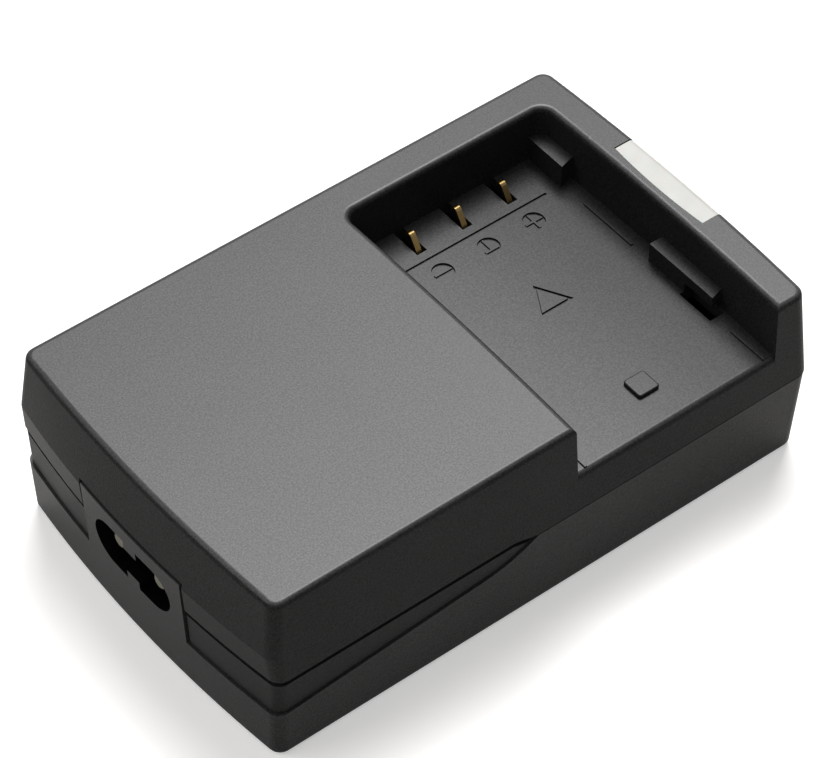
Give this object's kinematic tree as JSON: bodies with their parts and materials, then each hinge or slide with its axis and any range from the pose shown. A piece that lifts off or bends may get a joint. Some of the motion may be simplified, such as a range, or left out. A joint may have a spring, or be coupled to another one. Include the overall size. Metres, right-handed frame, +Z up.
{
  "type": "camera battery charger",
  "caption": "Desk charger for a camera battery: moulded box with an open battery bay, spring contacts, a lamp window at one end and a two-pole mains inlet at the other.",
  "frame": {"origin": "middle of the underside, on the table", "axes": "+X from the inlet end to the lamp end, -Y towards the open front of the battery bay, +Z up"},
  "size_m": [0.092, 0.0558, 0.0298],
  "materials": {
    "case_upper": "fine spark texture",
    "case_lower": "fine spark texture",
    "lens": "milky, smooth",
    "gilt": "bright plating",
    "nickel": "bright plating",
    "insulator": "smooth",
    "board": "lacquered laminate",
    "chip": "moulded",
    "sleeve": "shrunk sleeve",
    "film_box": "potted box",
    "fuse": "moulded",
    "ferrite": "sintered",
    "bobbin": "moulded",
    "tape": "wound tape",
    "wire": "enamelled copper wire",
    "diode_lens": "clear cast"
  },
  "bodies": {
    "root": {"upper_case": "case_upper", "lower_case": "case_lower", "lamp_lens": "lens", "contact_negative": "gilt", "contact_thermal": "gilt", "contact_positive": "gilt", "inlet_pin_left": "nickel", "inlet_pin_right": "nickel", "inlet_body": "insulator", "contact_block": "insulator", "circuit_board": "board", "line_fuse": "fuse", "suppression_capacitor": "film_box", "line_choke_core": "ferrite", "line_choke_winding": "wire", "bridge_rectifier": "chip", "mains_capacitor": "sleeve", "switching_chip": "chip", "transformer_core": "ferrite", "transformer_bobbin": "bobbin", "transformer_winding": "tape", "output_diode": "chip", "output_capacitor": "sleeve", "optocoupler": "chip", "charge_controller": "chip", "charge_lamp": "diode_lens"}
  },
  "joints": []
}
